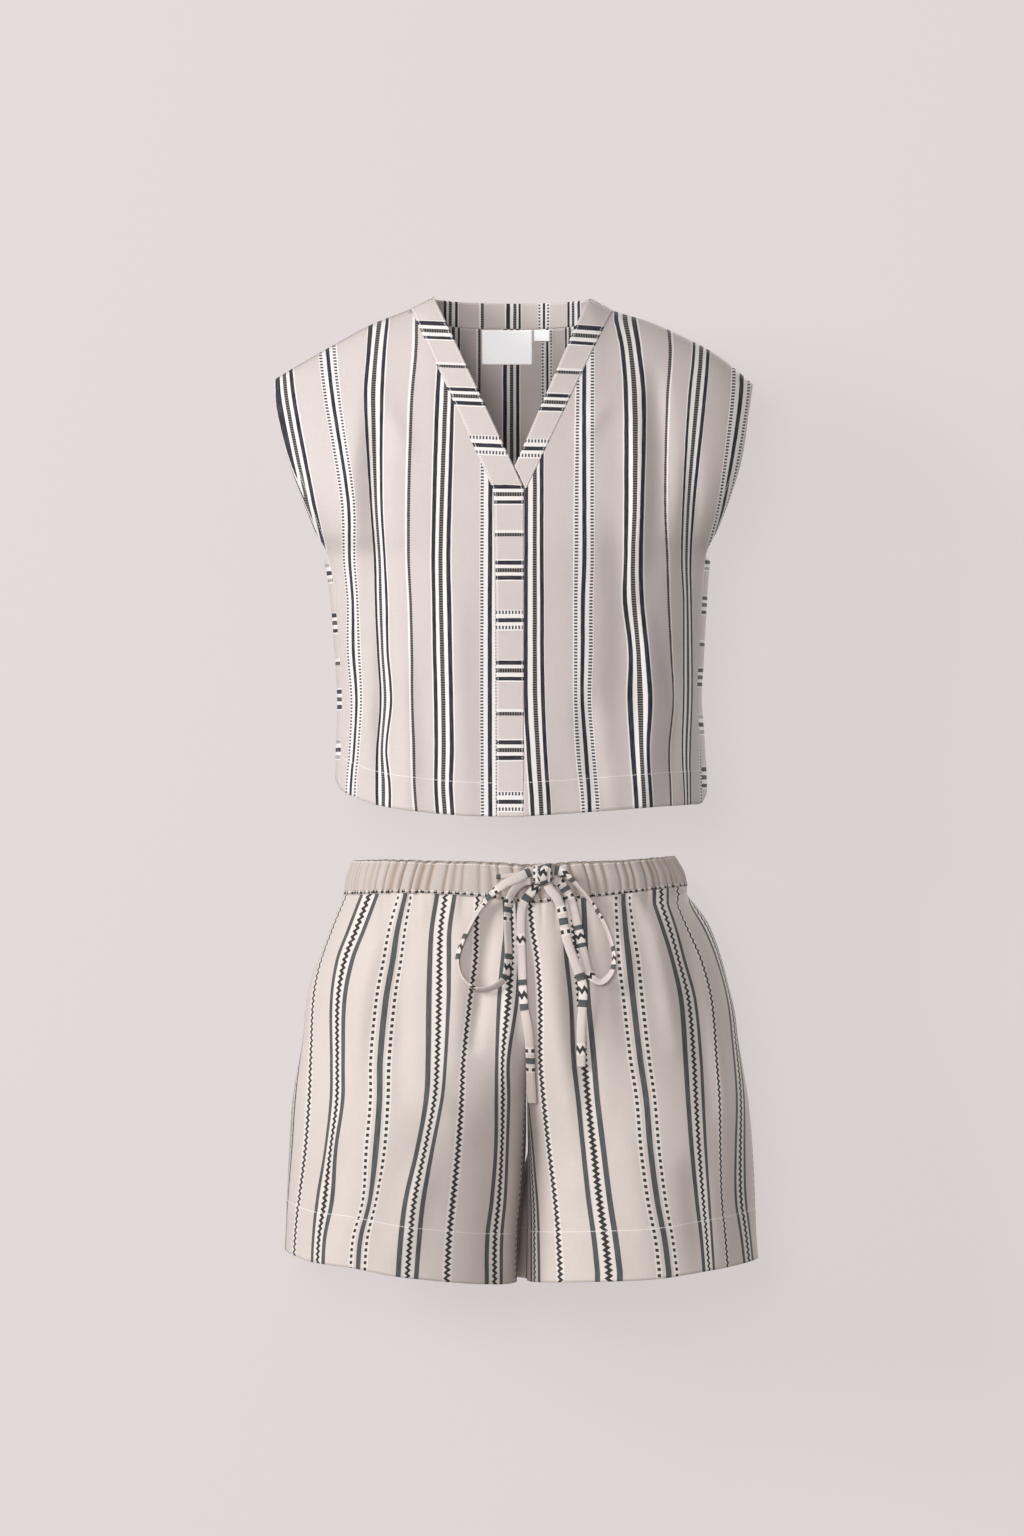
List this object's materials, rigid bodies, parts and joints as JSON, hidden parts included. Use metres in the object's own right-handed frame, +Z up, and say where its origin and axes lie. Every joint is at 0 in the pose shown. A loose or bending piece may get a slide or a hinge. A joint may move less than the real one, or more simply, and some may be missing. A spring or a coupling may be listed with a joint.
{
  "type": "top and shorts set",
  "caption": "Sleeveless V-neck top with a banded neck and placket, and wide shorts with a gathered drawstring waist, both filled out as worn.",
  "frame": {"origin": "between the wearer's shoulders, where the top hangs from them", "axes": "+Z up, -Y out of the front, +X to the wearer's left"},
  "size_m": [0.4833, 0.25, 0.9838],
  "materials": {
    "top_cloth": "matte woven cotton, warp stripes",
    "top_crosswise_cloth": "matte woven cotton, stripes across",
    "label_satin": "soft satin, blank",
    "shorts_cloth": "matte woven cotton, dobby stripes",
    "waistband_cloth": "matte woven cotton, gathered",
    "drawstring_cloth": "matte folded cotton tape"
  },
  "bodies": {
    "root": {"top_front_right": "top_cloth", "top_front_left": "top_cloth", "top_back": "top_cloth", "top_side_strip_right": "top_crosswise_cloth", "top_side_strip_left": "top_crosswise_cloth", "placket": "top_crosswise_cloth", "neckband_right": "top_crosswise_cloth", "neckband_left": "top_crosswise_cloth", "neckband_back": "top_crosswise_cloth", "neck_label": "label_satin", "size_tab": "label_satin", "shorts_front_right": "shorts_cloth", "shorts_front_left": "shorts_cloth", "shorts_back_right": "shorts_cloth", "shorts_back_left": "shorts_cloth", "waistband_front": "waistband_cloth", "waistband_back": "waistband_cloth", "drawstring_knot": "drawstring_cloth", "drawstring_loop_right": "drawstring_cloth", "drawstring_loop_left": "drawstring_cloth", "drawstring_tail_right": "drawstring_cloth", "drawstring_tail_left": "drawstring_cloth"}
  },
  "joints": []
}
